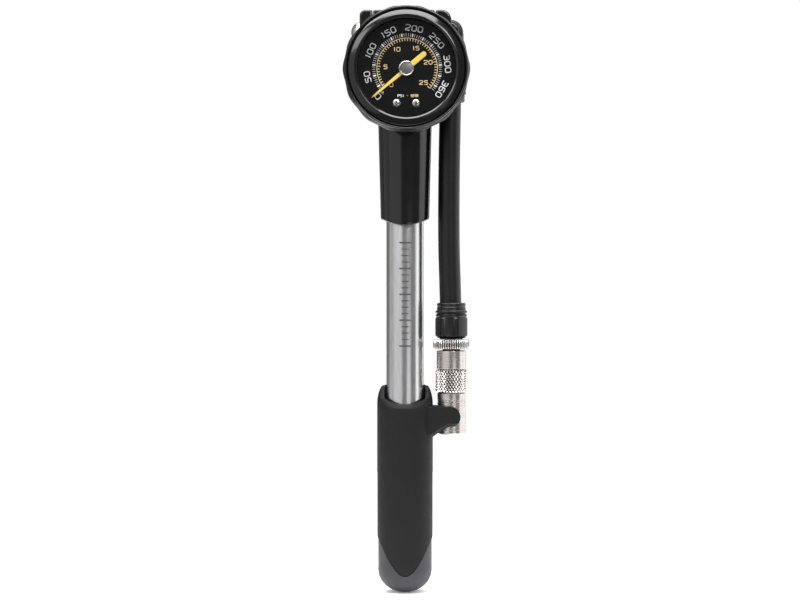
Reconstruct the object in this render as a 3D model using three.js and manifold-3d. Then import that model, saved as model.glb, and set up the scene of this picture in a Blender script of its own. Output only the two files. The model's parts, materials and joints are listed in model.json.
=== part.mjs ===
// A pocket-size high-pressure hand pump for bicycle suspension shocks, folded for storage.
// The head with its dial gauge is at the top, and the barrel runs down into the handle. A short hose hangs
// from a swivel on the head to a screw-on valve chuck, whose lower end sits in a clip on the handle.
// Millimetres, +Z up. Inside this file the barrel's axis is x = y = 0 and the handle's tip is z = 0, and the
// gauge faces -Y. The exported group shifts everything, so that the origin is the pump's bottom centre.
import * as THREE from "three";
import { mergeVertices } from "three/addons/utils/BufferGeometryUtils.js";
import Module from "manifold-3d";

const wasm = await Module();
wasm.setup();

// ---------------------------------------------------------------- driving dimensions, mm
const GAP = 0.3; // between pieces that touch on the real pump
const ORIGIN = { x: 0.5, y: -6.15 }; // the pump's bottom centre, seen from the barrel's axis

const HANDLE = {
  radius: 10.85, // over the rubber grip
  domeRadius: 10.5,
  domeHeight: 8.7,
  boreRadius: 8.0,
  coreRadius: 9.2,
  coreBottom: 7,
  coreTop: 68,
};
const BARREL = { radius: 7.25, boreRadius: 6.1, bottom: 20, top: 196 };
const ROD = { radius: 3, bottom: 9, top: 180 };
const HEAD = {
  bottom: 142.6, // lowest point of the sleeve's lower edge, at the front and the back
  sideRise: 2.8, // how much higher that edge is at the sides
  bottomRadius: 9.45,
  topRadius: 11.7,
  top: 226,
};
// The gauge's depths are measured from the barrel's axis towards the front.
const GAUGE = { x: 0.5, z: 202.1, back: 12 };
const CROSS_Z = 217.8; // height of the bleed valve's and the swivel's axes
const BLEED_Y = -1.5;
const SWIVEL = { x: 17.7, eyeRadius: 5.25, front: 4.1, back: -6.1, boltRadius: 2 };
const HOSE = { y: 1, radius: 4.15, boreRadius: 1.6 };
// The hose's middle line as [x, z] points, from the swivel's neck down to the chuck.
const HOSE_ROUTE = [
  [17.7, 203.5],
  [17.66, 190],
  [17.3, 169],
  [17.12, 150],
  [17.3, 134],
  [17.72, 120],
  [18.1, 101],
];
const CHUCK = {
  x: 18.1,
  bodyRadius: 5.6,
  tubeRadius: 5.3,
  collarRadius: 6,
  mouthRadius: 4,
  mouth: 61.6,
};
const CLIP = { top: 72.9, endRadius: 4.1, endX: 17.4, channelRadius: 5.65, wall: 1.8 };
const SECTOR_TEETH = 70; // round the whole circle that the sector is a slice of
const PINION_TEETH = 10;
const GEAR_MODULE = 0.25;

// Facets round a circle, for large, middling and small round pieces.
const FINE = 32;
const MEDIUM = 20;
const COARSE = 12;

// ---------------------------------------------------------------- materials
const finish = (color, roughness, metalness = 0) =>
  new THREE.MeshStandardMaterial({ color, roughness, metalness });
const glossBlack = finish(0x141416, 0.25);
const satinBlack = finish(0x1b1b1d, 0.4);
const gripRubber = finish(0x232425, 0.75);
const hoseRubber = finish(0x1e1f20, 0.6);
const sealRubber = finish(0x101010, 0.7);
const greyPlastic = finish(0x4c4b52, 0.6);
const brushedBarrel = finish(0xb9babc, 0.3, 1);
const nickel = finish(0xc4bfb8, 0.28, 1);
const steel = finish(0xa9abad, 0.3, 1);
const brass = finish(0xb08d4a, 0.35, 1);
const dialBlack = finish(0x0b0b0c, 0.55);
const needleYellow = finish(0xe8c93a, 0.5);
const lensClear = new THREE.MeshStandardMaterial({
  color: 0xf2f6f8,
  roughness: 0.05,
  transparent: true,
  opacity: 0.2,
});

// ---------------------------------------------------------------- from geometry to solids and back
// A closed three.js geometry as a solid whose faces point out.
function solidOf(geometry) {
  const loose = geometry.index ? geometry.toNonIndexed() : geometry;
  const bare = new THREE.BufferGeometry();
  bare.setAttribute("position", loose.getAttribute("position").clone());
  const merged = mergeVertices(bare, 1e-4);
  const points = merged.attributes.position;
  const corners = [0, 1, 2].map(() => new THREE.Vector3());
  const triangles = [];
  let sixVolumes = 0;
  for (let i = 0; i < merged.index.count; i += 3) {
    const [a, b, c] = [0, 1, 2].map((k) => merged.index.getX(i + k));
    if (a === b || b === c || c === a) continue;
    triangles.push(a, b, c);
    [a, b, c].forEach((v, k) => corners[k].fromBufferAttribute(points, v));
    sixVolumes += corners[0].dot(corners[1].cross(corners[2]));
  }
  if (sixVolumes < 0) triangles.reverse();
  const mesh = new wasm.Mesh({
    numProp: 3,
    vertProperties: points.array,
    triVerts: new Uint32Array(triangles),
  });
  return new wasm.Manifold(mesh);
}

function geometryOf(solid) {
  const mesh = solid.getMesh();
  const geometry = new THREE.BufferGeometry();
  geometry.setAttribute("position", new THREE.BufferAttribute(mesh.vertProperties, 3));
  geometry.setIndex(new THREE.BufferAttribute(mesh.triVerts, 1));
  return geometry;
}

const joined = (...geometries) => geometries.map(solidOf).reduce((sum, next) => sum.add(next));
const without = (solid, ...geometries) =>
  geometries.map(solidOf).reduce((rest, cutter) => rest.subtract(cutter), solid);

// One named sub-part in the material it is made of.
function piece(name, shape, material) {
  const solid = shape.isBufferGeometry ? solidOf(shape) : shape;
  const mesh = new THREE.Mesh(geometryOf(solid), material);
  mesh.name = name;
  return mesh;
}

// ---------------------------------------------------------------- basic shapes, all round the Z axis
// A turned piece. The profile's [radius, z] points run from axis to axis, or form a closed ring off it.
function turned(profile, sides = MEDIUM) {
  const points = profile.map(([r, z]) => new THREE.Vector2(r, z));
  if (profile[0][0] > 0) points.push(points[0].clone());
  return new THREE.LatheGeometry(points, sides).rotateX(Math.PI / 2);
}

const rod = (radius, low, high, sides = MEDIUM) =>
  turned([[0, low], [radius, low], [radius, high], [0, high]], sides);

const ring = (inner, outer, low, high, sides = MEDIUM) =>
  turned([[inner, low], [outer, low], [outer, high], [inner, high]], sides);

const block = (low, high) =>
  new THREE.BoxGeometry(...high.map((v, k) => v - low[k])).translate(
    ...high.map((v, k) => (v + low[k]) / 2),
  );

// A flat outline in X and Y, given thickness from low to high along Z.
const slab = (shape, low, high, curveSegments = 8) =>
  new THREE.ExtrudeGeometry(shape, {
    depth: high - low,
    bevelEnabled: false,
    curveSegments,
  }).translate(0, 0, low);

// A turned piece whose section changes with the angle, which is measured from the front, -Y, towards +X.
// sectionAt(angle) gives [radius, z] points, in a closed loop or from axis to axis.
function lofted(sectionAt, columns) {
  const rows = sectionAt(0).length;
  const open = sectionAt(0)[0][0] === 0;
  const positions = [];
  for (let column = 0; column < columns; column++) {
    const angle = (2 * Math.PI * column) / columns;
    for (const [r, z] of sectionAt(angle)) {
      positions.push(r * Math.sin(angle), -r * Math.cos(angle), z);
    }
  }
  const index = [];
  for (let column = 0; column < columns; column++) {
    const next = (column + 1) % columns;
    for (let row = 0; row < (open ? rows - 1 : rows); row++) {
      const above = (row + 1) % rows;
      const [a, b] = [column * rows + row, next * rows + row];
      const [c, d] = [next * rows + above, column * rows + above];
      index.push(a, b, c, a, c, d);
    }
  }
  const geometry = new THREE.BufferGeometry();
  geometry.setAttribute("position", new THREE.Float32BufferAttribute(positions, 3));
  geometry.setIndex(index);
  return geometry;
}

// A compression spring of round wire, wound round the Z axis.
function coil(radius, wire, low, high, turns) {
  const steps = turns * 8;
  const points = [];
  for (let i = 0; i <= steps; i++) {
    const turn = (2 * Math.PI * turns * i) / steps;
    const z = low + ((high - low) * i) / steps;
    points.push(new THREE.Vector3(radius * Math.cos(turn), radius * Math.sin(turn), z));
  }
  const section = new THREE.Shape().absarc(0, 0, wire, 0, 2 * Math.PI);
  const extrudePath = new THREE.CatmullRomCurve3(points);
  return new THREE.ExtrudeGeometry(section, { steps, curveSegments: 2, extrudePath });
}

const towardsFront = (geometry) => geometry.rotateX(Math.PI / 2); // +Z turns to -Y, and +Y to +Z

// Along the bleed valve's axis: +Z turns to -X.
const towardsLeft = (geometry) => geometry.rotateY(-Math.PI / 2).translate(0, BLEED_Y, CROSS_Z);

// ---------------------------------------------------------------- handle
// The rubber grip meets the hard end cap along a curve that hangs low at the front and back.
function capEdge(angle) {
  const u = Math.sin(angle) ** 2;
  return 7.2 + 14.3 * u * (1.25 - 0.25 * u);
}

const domeRadiusAt = (z) =>
  z >= HANDLE.domeHeight
    ? HANDLE.domeRadius
    : HANDLE.domeRadius * Math.sqrt(1 - ((HANDLE.domeHeight - z) / HANDLE.domeHeight) ** 2);

// How far up its range the grip's mouth is: 0 in the scoop at the front, 1 at the two side peaks, and a
// little lower across the back.
function mouthRise(angle) {
  const fromSide = Math.asin(Math.cos(angle));
  if (fromSide < 0) return 1 - 0.12 * Math.sin(fromSide) ** 2;
  return 0.35 * Math.sin(angle) ** 2 + 0.65 * Math.exp(-((fromSide / 0.19) ** 2));
}

function gripSection(angle) {
  const low = capEdge(angle) + GAP / 2;
  const rise = mouthRise(angle);
  const shoulder = 71.8 + 3.6 * rise;
  const lip = { r: 8.4 - 0.7 * rise ** 3, z: 73.3 + 7.5 * rise };
  const shoulderPoint = (t) => [
    lip.r + (HANDLE.radius - lip.r) * Math.cos(t),
    shoulder + (lip.z - shoulder) * Math.sin(t),
  ];
  const inner = HANDLE.coreRadius + GAP;
  return [
    [inner, low],
    [domeRadiusAt(low) + 0.1, low],
    [HANDLE.radius - 0.15, 24],
    [HANDLE.radius, shoulder],
    shoulderPoint(0.6),
    shoulderPoint(1.1),
    [lip.r, lip.z],
    [8.4, HANDLE.coreTop + GAP],
    [inner, HANDLE.coreTop + GAP],
  ];
}

function capSection(angle) {
  const edge = capEdge(angle) - GAP / 2;
  const socket = HANDLE.coreRadius + 0.2;
  const floor = HANDLE.coreBottom - GAP;
  const dome = [0, 0.35, 0.65, 0.95, 1.25, Math.PI / 2].map((t) => {
    const z = Math.min(HANDLE.domeHeight * (1 - Math.cos(t)), edge);
    return [domeRadiusAt(z), z];
  });
  return [
    [0, 0],
    ...dome.slice(1),
    [domeRadiusAt(edge), edge],
    [socket, edge],
    [socket, floor],
    [4.6, floor],
    [4.6, 3],
    [0, 3],
  ];
}

// The hook-shaped clip, seen from the front: a flat top, a round end and an underside back to the handle.
function clipOutline() {
  const { top, endRadius, endX } = CLIP;
  const lowest = -1.1; // angle where the round end runs into the underside
  return new THREE.Shape()
    .moveTo(6, top)
    .lineTo(endX, top)
    .absarc(endX, top - endRadius, endRadius, Math.PI / 2, lowest, true)
    .lineTo(14.9, 63.5)
    .lineTo(12.9, 62.3)
    .lineTo(HANDLE.radius - 0.1, 60.7)
    .lineTo(6, 58.9);
}

function handlePieces() {
  const { boreRadius, coreRadius, coreBottom, coreTop } = HANDLE;
  const core = turned(
    [
      [2.1, coreBottom],
      [coreRadius, coreBottom],
      [coreRadius, coreTop],
      [boreRadius, coreTop],
      [boreRadius, 15],
      [3.3, 15],
      [3.3, ROD.bottom - GAP],
      [2.1, ROD.bottom - GAP],
    ],
    MEDIUM,
  );
  const reach = CLIP.channelRadius + CLIP.wall;
  const clipBody = towardsFront(slab(clipOutline(), -HOSE.y - reach, -HOSE.y + reach, 6));
  const channel = new THREE.Shape()
    .absarc(0, 0, CLIP.channelRadius, Math.PI / 2, (3 * Math.PI) / 2, false)
    .lineTo(9, -CLIP.channelRadius)
    .lineTo(9, CLIP.channelRadius);
  const clip = without(
    solidOf(clipBody),
    slab(channel, 50, 80, 10).translate(CHUCK.x, HOSE.y, 0),
    rod(coreRadius + GAP, 40, 90, FINE),
  );
  const window = block(
    [5.5, HOSE.y - reach - GAP, 58.5],
    [14, HOSE.y + reach + GAP, CLIP.top + GAP],
  );
  const rodBar = turned(
    [
      [0, 19.8],
      [1.9, 19.8],
      [1.9, ROD.bottom],
      [ROD.radius, ROD.bottom],
      [ROD.radius, ROD.top],
      [0, ROD.top],
    ],
    20,
  );
  const screw = joined(rod(3.8, 4, coreBottom - GAP, 16), rod(1.6, coreBottom - 1, 19, 16));
  const piston = turned(
    [
      [0, ROD.top + GAP],
      [5.75, ROD.top + GAP],
      [5.75, 183.8],
      [4.4, 183.8],
      [4.4, 187.2],
      [5.75, 187.2],
      [5.75, 190],
      [0, 190],
    ],
    MEDIUM,
  );
  return [
    piece("handle_core", core, satinBlack),
    piece("handle_grip", without(solidOf(lofted(gripSection, 40)), window), gripRubber),
    piece("handle_end_cap", lofted(capSection, 40), greyPlastic),
    piece("chuck_clip", clip, gripRubber),
    piece("piston_rod", rodBar, steel),
    piece("rod_screw", screw, steel),
    piece("bump_stop", ring(3.3, 6.5, 15.3, 17.4), sealRubber),
    piece("piston_head", piston, brass),
    piece("piston_seal", ring(4.6, 5.9, 184, 187), sealRubber),
  ];
}

// ---------------------------------------------------------------- barrel and its parts
function barrelPieces() {
  const gland = turned(
    [
      [3.3, 20.2],
      [3.3, 30],
      [5.8, 30],
      [5.8, 19.7],
      [7.2, 19.7],
      [7.2, 17.7],
      [5, 17.7],
      [5, 20.2],
    ],
    MEDIUM,
  );
  const tube = ring(BARREL.boreRadius, BARREL.radius, BARREL.bottom, BARREL.top, FINE);
  return [
    piece("barrel_tube", tube, brushedBarrel),
    piece("barrel_gland", gland, satinBlack),
    piece("gland_wiper", ring(3.35, 4.7, 18, 19.9), sealRubber),
    piece("check_valve_seat", ring(1, 3, 196.6, 198, 16), brass),
    piece("check_valve_ball", new THREE.SphereGeometry(1.6, 12, 8).translate(0, 0, 199.3), steel),
    piece("check_valve_spring", coil(1.7, 0.25, 201.6, 210, 5), steel),
  ];
}

// ---------------------------------------------------------------- head
// The tapered sleeve: its lower edge dips at the front and back, and the barrel's socket is inside it.
function sleeveSection(angle) {
  const edge = HEAD.bottom + HEAD.sideRise * Math.sin(angle) ** 2;
  return [
    [0, HEAD.top],
    [HEAD.topRadius - 0.8, HEAD.top],
    [HEAD.topRadius, HEAD.top - 0.8],
    [HEAD.bottomRadius, edge],
    [7.5, edge],
    [7.5, BARREL.top + GAP],
    [3.2, BARREL.top + GAP],
    [3.2, CROSS_Z],
    [0, CROSS_Z],
  ];
}

// A boss that stands out sideways, from x = inner to x = outer, with its two outer corners rounded.
function lugOutline(inner, outer, corner) {
  const side = Math.sign(outer);
  const [low, high] = [209.4, HEAD.top - 0.2];
  return new THREE.Shape()
    .moveTo(inner, low)
    .lineTo(outer - side * corner, low)
    .quadraticCurveTo(outer, low, outer, low + corner)
    .lineTo(outer, high - corner)
    .quadraticCurveTo(outer, high, outer - side * corner, high)
    .lineTo(inner, high);
}

function headShell() {
  const frontFace = 9.5;
  const leftLug = towardsFront(slab(lugOutline(-6, -17.55, 2.2), -6.5, frontFace, 3));
  const earBack = SWIVEL.front + GAP;
  const rightEar = towardsFront(slab(lugOutline(6, 17.9, 4), earBack, frontFace, 5));
  const earBoss = towardsFront(rod(2.9, earBack, frontFace, COARSE).translate(SWIVEL.x, CROSS_Z, 0));
  const boltHole = towardsFront(
    rod(SWIVEL.boltRadius + GAP, earBack - 1, 8.2, COARSE).translate(SWIVEL.x, CROSS_Z, 0),
  );
  const gaugeBoss = towardsFront(rod(8, 4, GAUGE.back - GAP).translate(GAUGE.x, GAUGE.z, 0));
  const gaugePort = towardsFront(rod(4.4, 2.2, 13).translate(GAUGE.x, GAUGE.z, 0));
  const airWayAcross = rod(0.8, 0, SWIVEL.x, 8).rotateY(Math.PI / 2).translate(0, -6.6, CROSS_Z);
  const airWayForward = towardsFront(rod(0.8, 0, 6.6, 8).translate(0, CROSS_Z, 0));
  const notch = (x) => block([x - 0.25, -11, HEAD.top - 2.4], [x + 0.25, 8, HEAD.top + 1]);
  return without(
    joined(lofted(sleeveSection, FINE), leftLug, rightEar, earBoss, gaugeBoss),
    rod(7.5, 180, BARREL.top + GAP, FINE),
    gaugePort,
    boltHole,
    airWayAcross,
    airWayForward,
    towardsLeft(rod(4.5, 13, 20)),
    towardsLeft(rod(1.3, 5, 14, COARSE)),
    towardsLeft(rod(2.6, 0.1, 9.5, COARSE)),
    notch(-12.7),
    notch(11.7),
  );
}

function headPieces() {
  const dome = [
    [0, 21],
    [1.7, 20.7],
    [3.1, 19.9],
    [3.95, 18.9],
    [4.2, 17.9],
    [4.2, 15.6],
    [3.5, 15.6],
    [3.5, 18.2],
    [0, 18.2],
  ];
  const pin = joined(rod(1, 7, 17.9, COARSE), rod(2.2, 6.8, 8.2, COARSE));
  const hexHead = rod(3.5, -8.6, SWIVEL.back - GAP, 6);
  const boltShank = rod(SWIVEL.boltRadius, -8, 7.9, COARSE);
  const bolt = without(joined(hexHead, boltShank), rod(0.8, -1, 9, 8));
  return [
    piece("head_housing", headShell(), glossBlack),
    piece("spring_retainer", ring(1.2, 2.9, 210.3, 211.6, 16), brass),
    piece("bleed_button", towardsLeft(turned(dome)), nickel),
    piece("bleed_pin", pin.rotate([0, -90, 0]).translate([0, BLEED_Y, CROSS_Z]), brass),
    piece("bleed_seal", towardsLeft(ring(1.2, 2.2, 8.3, 9.3, 16)), sealRubber),
    piece("bleed_spring", towardsLeft(coil(2.4, 0.25, 13.4, 17.8, 4)), steel),
    piece("swivel_bolt", bolt.rotate([90, 0, 0]).translate([SWIVEL.x, 0, CROSS_Z]), steel),
  ];
}

// ---------------------------------------------------------------- gauge, made round Z, then turned
const onGauge = (geometry) => towardsFront(geometry.translate(GAUGE.x, GAUGE.z, 0));
const PINION_RADIUS = (PINION_TEETH * GEAR_MODULE) / 2;
const SECTOR_RADIUS = (SECTOR_TEETH * GEAR_MODULE) / 2;
const SECTOR_DIRECTION = -Math.PI / 6; // from the pinion to the sector's pivot, seen from the front
const SECTOR_PIVOT = new THREE.Vector2(PINION_RADIUS + SECTOR_RADIUS, 0).rotateAround(
  new THREE.Vector2(),
  SECTOR_DIRECTION,
);
const NEEDLE_REST = (219.9 * Math.PI) / 180;
const DIAL_SCREW = { x: 3.75, z: -13.2 };
const NEEDLE_STOP = { x: -9.1, z: -9.45 };

// The points of one straight-sided tooth whose middle is at an angle, on a wheel of so many teeth.
function toothPoints(teeth, middle) {
  const pitchRadius = (teeth * GEAR_MODULE) / 2;
  const pitch = (2 * Math.PI) / teeth;
  const root = pitchRadius - 1.2 * GEAR_MODULE;
  const tip = pitchRadius + 0.8 * GEAR_MODULE;
  const corners = [[root, -0.27], [tip, -0.12], [tip, 0.12], [root, 0.27]];
  return corners.map(([r, share]) => {
    const angle = middle + share * pitch;
    return new THREE.Vector2(r * Math.cos(angle), r * Math.sin(angle));
  });
}

function pinionShape() {
  const pitch = (2 * Math.PI) / PINION_TEETH;
  const teeth = [];
  for (let tooth = 0; tooth < PINION_TEETH; tooth++) {
    teeth.push(...toothPoints(PINION_TEETH, SECTOR_DIRECTION + (tooth + 0.5) * pitch));
  }
  return new THREE.Shape(teeth);
}

function sectorGear() {
  const pitch = (2 * Math.PI) / SECTOR_TEETH;
  const towardsPinion = SECTOR_DIRECTION + Math.PI;
  const outline = [];
  for (let tooth = -9; tooth <= 1; tooth++) {
    outline.push(...toothPoints(SECTOR_TEETH, towardsPinion + tooth * pitch));
  }
  const tail = towardsPinion - 4 * pitch + Math.PI;
  for (const [r, turn] of [[1.8, -1.2], [5.3, -0.13], [5.3, 0.13], [1.8, 1.2]]) {
    outline.push(new THREE.Vector2(r * Math.cos(tail + turn), r * Math.sin(tail + turn)));
  }
  return joined(slab(new THREE.Shape(outline), 14.9, 15.7), rod(0.5, 13.6, 16.4, 8))
    .translate([SECTOR_PIVOT.x + GAUGE.x, SECTOR_PIVOT.y + GAUGE.z, 0])
    .rotate([90, 0, 0]);
}

function needleShape() {
  const tip = 17.2;
  const tail = 9.5;
  return new THREE.Shape()
    .moveTo(tip, 0)
    .lineTo(tip - 1.6, 0.28)
    .lineTo(0, 0.62)
    .lineTo(-3, 0.9)
    .lineTo(-tail + 0.9, 0.9)
    .absarc(-tail + 0.9, 0, 0.9, Math.PI / 2, (3 * Math.PI) / 2, false)
    .lineTo(-3, -0.9)
    .lineTo(0, -0.62)
    .lineTo(tip - 1.6, -0.28);
}

function gaugeShellPieces() {
  const caseSection = [
    [3.3, GAUGE.back],
    [21, GAUGE.back],
    [21.8, 12.8],
    [21.8, 20.4],
    [23.7, 20.8],
    [23.7, 22.9],
    [23.3, 23.4],
    [22.7, 23.4],
    [22.6, 21.9],
    [20.9, 21.9],
    [20.9, 13.2],
    [3.3, 13.2],
  ];
  const bezelSection = [
    [19.6, 22.2],
    [19.6, 23.1],
    [20.3, 24],
    [21.6, 24],
    [22.3, 23.3],
    [22.3, 22.2],
  ];
  const scallops = 14;
  const bumperSection = (angle) => {
    const outer = 23.95 - 0.4 * Math.cos(scallops * angle);
    return [
      [22.1, 13.2],
      [22.9, 12.6],
      [outer, 14],
      [outer, 19.3],
      [23, 20.2],
      [22.1, 20.2],
    ];
  };
  return [
    piece("gauge_case", onGauge(turned(caseSection, FINE)), glossBlack),
    piece("gauge_bumper", onGauge(lofted(bumperSection, 3 * scallops)), gripRubber),
    piece("gauge_bezel", onGauge(turned(bezelSection, FINE)), glossBlack),
    piece("lens_gasket", onGauge(ring(19.8, 20.6, 20, 20.4)), sealRubber),
    piece("gauge_lens", onGauge(rod(20.6, 20.7, 21.9, FINE)), lensClear),
  ];
}

function gaugeStem() {
  const { x, y } = SECTOR_PIVOT;
  const plate = new THREE.Shape([
    new THREE.Vector2(-5.5, -15),
    new THREE.Vector2(5.5, -15),
    new THREE.Vector2(5.8, -9.5),
    new THREE.Vector2(x + 2, y - 2),
    new THREE.Vector2(x + 1.5, y + 2),
    new THREE.Vector2(2.5, 3.5),
    new THREE.Vector2(-3.5, 3.5),
    new THREE.Vector2(-5.5, 0),
  ]);
  return without(
    joined(rod(4.1, 4.2, 11.6), rod(3, 11.5, 13.6), slab(plate, 13.5, 14.5)),
    rod(0.9, 0, 12, 10),
    rod(0.8, 13, 16, 8),
    rod(0.8, 13, 16, 8).translate(x, y, 0),
    rod(0.9, 13, 16, 8).translate(DIAL_SCREW.x, DIAL_SCREW.z, 0),
    rod(0.9, 13, 16, 8).translate(-DIAL_SCREW.x, DIAL_SCREW.z, 0),
  )
    .translate([GAUGE.x, GAUGE.z, 0])
    .rotate([90, 0, 0]);
}

function gaugeInnerPieces() {
  const tubeArc = [(260 * Math.PI) / 180, (-25 * Math.PI) / 180];
  const tube = new THREE.Shape()
    .absarc(0, 0, 17.5, ...tubeArc, true)
    .absarc(0, 0, 16.5, ...tubeArc.toReversed(), false);
  const dial = new THREE.Shape().absarc(0, 0, 20.2, 0, 2 * Math.PI);
  const dialHole = (x, z, radius) =>
    dial.holes.push(new THREE.Path().absarc(x, z, radius, 0, 2 * Math.PI));
  dialHole(0, 0, 1.6);
  dialHole(DIAL_SCREW.x, DIAL_SCREW.z, 0.9);
  dialHole(-DIAL_SCREW.x, DIAL_SCREW.z, 0.9);
  dialHole(NEEDLE_STOP.x, NEEDLE_STOP.z, 0.85);
  const stopPin = rod(0.55, 16.7, 19.3, 8).translate(NEEDLE_STOP.x, NEEDLE_STOP.z, 0);
  const needle = needleShape();
  needle.holes.push(new THREE.Path().absarc(0, 0, 0.5, 0, 2 * Math.PI));
  const needleBar = slab(needle, 18.3, 18.9, 4).rotateZ(NEEDLE_REST);
  const screw = (side) =>
    joined(rod(1.7, 18.2, 18.9, 16), rod(0.6, 13.7, 18.3, 8))
      .translate([GAUGE.x + side * DIAL_SCREW.x, GAUGE.z + DIAL_SCREW.z, 0])
      .rotate([90, 0, 0]);
  const pinion = joined(slab(pinionShape(), 14.9, 15.7), rod(0.35, 13.6, 18.9, 8))
    .translate([GAUGE.x, GAUGE.z, 0])
    .rotate([90, 0, 0]);
  return [
    piece("gauge_stem", gaugeStem(), brass),
    piece("gauge_seal", onGauge(ring(2.7, 4.1, 2.7, 3.9, 16)), sealRubber),
    piece("bourdon_tube", onGauge(slab(tube, 13.8, 16.4, 14)), brass),
    piece("sector_gear", sectorGear(), brass),
    piece("pinion", pinion, brass),
    piece("gauge_dial", onGauge(slab(dial, 17.2, 17.9, 11)), dialBlack),
    piece("dial_screw_left", screw(-1), steel),
    piece("dial_screw_right", screw(1), steel),
    piece("needle_stop", onGauge(stopPin), steel),
    piece("needle", onGauge(needleBar), needleYellow),
    piece("needle_hub", onGauge(rod(2.9, 19.2, 20.2)), nickel),
  ];
}

// ---------------------------------------------------------------- swivel and hose
// A moulded strain-relief boot, ribbed at its mouth, which is on top where the direction is 1.
function boot(mouth, direction) {
  const inner = HOSE.radius + 0.35;
  const profile = [
    [inner, 0],
    [5.4, 0],
    [6, 2.2],
    [6, 4.8],
    [5.6, 5.6],
    [6, 6.6],
    [6, 12.9],
    [5.2, 13.8],
    [inner, 13.8],
  ];
  return turned(profile.map(([r, down]) => [r, mouth - direction * down]));
}

function swivelPieces() {
  const { x, eyeRadius, front, back, boltRadius } = SWIVEL;
  const onBolt = (geometry) => towardsFront(geometry.translate(x, CROSS_Z, 0));
  const onHose = (geometry) => geometry.translate(x, HOSE.y, 0);
  const sealSeat = boltRadius + 1.5;
  const elbow = without(
    joined(
      onBolt(rod(eyeRadius, back, front)),
      onHose(rod(5.2, 205, CROSS_Z)),
      onHose(rod(HOSE.boreRadius - 0.2, 196, 206, COARSE)),
    ),
    onBolt(rod(boltRadius + GAP, -9, 9, COARSE)),
    onBolt(rod(sealSeat, front - 1.3, front + 1, 16)),
    onBolt(rod(sealSeat, back - 1, back + 1.3, 16)),
    onHose(rod(0.7, 190, CROSS_Z, 8)),
  );
  const seal = (low) => onBolt(ring(boltRadius + 0.4, sealSeat - 0.2, low, low + 1, 16));
  const stations = HOSE_ROUTE.map(([px, pz]) => new THREE.Vector3(px, HOSE.y, pz));
  const extrudePath = new THREE.CatmullRomCurve3(stations);
  const section = new THREE.Shape().absarc(0, 0, HOSE.radius, 0, 2 * Math.PI);
  section.holes.push(new THREE.Path().absarc(0, 0, HOSE.boreRadius, 0, 2 * Math.PI));
  const hose = new THREE.ExtrudeGeometry(section, { steps: 8, curveSegments: 5, extrudePath });
  return [
    piece("swivel_elbow", elbow, satinBlack),
    piece("swivel_seal_front", seal(front - 1.15), sealRubber),
    piece("swivel_seal_back", seal(back + 0.15), sealRubber),
    piece("upper_hose_boot", onHose(boot(191, -1)), satinBlack),
    piece("hose", hose, hoseRubber),
  ];
}

// ---------------------------------------------------------------- chuck
function chuckPieces() {
  const stem = [
    [0.6, 108],
    [1.35, 108],
    [1.35, 100.7],
    [4.2, 100.7],
    [4.2, 98.9],
    [2.4, 98.9],
    [2.4, 71.6],
    [1.1, 71.6],
    [1.1, 67.5],
    [0.6, 67.5],
  ];
  const body = [
    [2.7, 94.1],
    [CHUCK.bodyRadius, 94.1],
    [CHUCK.bodyRadius, 86.8],
    [3.9, 86.8],
    [3.9, 80],
    [2.7, 80],
  ];
  const collar = [
    [4.2, 86.5],
    [CHUCK.collarRadius, 86.5],
    [CHUCK.collarRadius, 77.8],
    [5, 77.8],
    [5, 79.7],
    [4.2, 79.7],
  ];
  const tube = [
    [3.6, 79.4],
    [4.7, 79.4],
    [4.7, 77.5],
    [CHUCK.tubeRadius, 77.5],
    [CHUCK.tubeRadius, CHUCK.mouth],
    [CHUCK.mouthRadius, CHUCK.mouth],
    [CHUCK.mouthRadius, 70.5],
    [3.6, 70.5],
  ];
  const place = (geometry) => geometry.translate(CHUCK.x, HOSE.y, 0);
  return [
    piece("lower_hose_boot", place(boot(112.7, 1)), satinBlack),
    piece("chuck_stem", place(turned(stem, 16)), steel),
    piece("stem_seal", place(ring(2.7, 3.3, 72.2, 73.4, 16)), sealRubber),
    piece("lock_ring", place(ring(2.7, 7, 94.7, 98.3)), nickel),
    piece("chuck_body", place(turned(body)), nickel),
    piece("chuck_collar", place(turned(collar)), nickel),
    piece("chuck_tube", place(turned(tube)), nickel),
    piece("valve_gasket", place(ring(1.6, 3.7, 68.4, 70.2)), sealRubber),
  ];
}

// ---------------------------------------------------------------- the whole pump
const pump = new THREE.Group();
pump.add(
  ...handlePieces(),
  ...barrelPieces(),
  ...headPieces(),
  ...gaugeShellPieces(),
  ...gaugeInnerPieces(),
  ...swivelPieces(),
  ...chuckPieces(),
);
pump.position.set(-ORIGIN.x, -ORIGIN.y, 0);

export default pump;
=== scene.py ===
"""A pocket shock pump for bicycle suspension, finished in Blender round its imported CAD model.

Every piece is made in millimetres about its own axis, then settled at its place on the pump in metres. The
pump stands on the tip of its handle: +Z runs up the barrel, -Y faces the gauge's reader and +X is the
hose's side.
"""
import json
import math

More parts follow.
